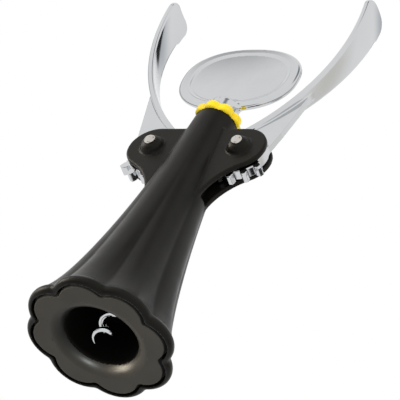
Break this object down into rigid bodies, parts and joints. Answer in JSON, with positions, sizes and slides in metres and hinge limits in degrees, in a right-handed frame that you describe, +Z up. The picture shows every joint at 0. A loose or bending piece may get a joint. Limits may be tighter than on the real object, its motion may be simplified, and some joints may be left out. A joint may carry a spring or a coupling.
{
  "type": "wing corkscrew",
  "caption": "Wing corkscrew: fluted bell body on a scalloped foot, geared levers that drive a ring-toothed rack, flat turning key and worm.",
  "frame": {"origin": "centre of the scalloped foot, on the plane that it stands on", "axes": "+Z up the screw axis to the turning key, +X to the right lever, -Y to the front with the rivet heads"},
  "size_m": [0.1074, 0.07, 0.2249],
  "materials": {
    "black_plastic": "satin black moulded plastic",
    "yellow_plastic": "glossy yellow moulded plastic",
    "chrome": "polished chrome plate on a casting",
    "steel": "turned steel",
    "nylon": "natural nylon"
  },
  "bodies": {
    "body": {"body_shell": "black_plastic", "mouth_plate": "black_plastic", "collar": "yellow_plastic", "pivot_pin_left": "steel", "pivot_pin_right": "steel", "pin_cap_left": "steel", "pin_cap_right": "steel", "gear_washers_left": "nylon", "gear_washers_right": "nylon"},
    "lever_left": {"lever_left": "chrome"},
    "lever_right": {"lever_right": "chrome"},
    "rack": {"rack_sleeve": "steel", "thrust_washer": "nylon"},
    "screw": {"spindle": "steel", "circlip": "steel", "worm": "chrome", "worm_pin": "steel", "turning_key": "chrome", "key_pin": "steel"}
  },
  "joints": [
    {"name": "left_lever_swing", "type": "hinge", "parent": "body", "child": "lever_left", "pos_m": [-0.022, 0, 0.1215], "axis": [0, -1, 0], "range_deg": [0, 140]},
    {"name": "right_lever_swing", "type": "hinge", "parent": "body", "child": "lever_right", "pos_m": [0.022, 0, 0.1215], "axis": [0, 1, 0], "range_deg": [0, 140]},
    {"name": "rack_lift", "type": "slide", "parent": "body", "child": "rack", "axis": [0, 0, 1], "range_m": [0, 0.03763]},
    {"name": "screw_turn", "type": "hinge", "parent": "rack", "child": "screw", "pos_m": [0, 0, 0.1], "axis": [0, 0, 1], "continuous": true}
  ],
  "couplings": [
    {"joint": "left_lever_swing", "follows": "rack_lift", "rad_per_m": 64.93},
    {"joint": "right_lever_swing", "follows": "rack_lift", "rad_per_m": 64.93}
  ]
}
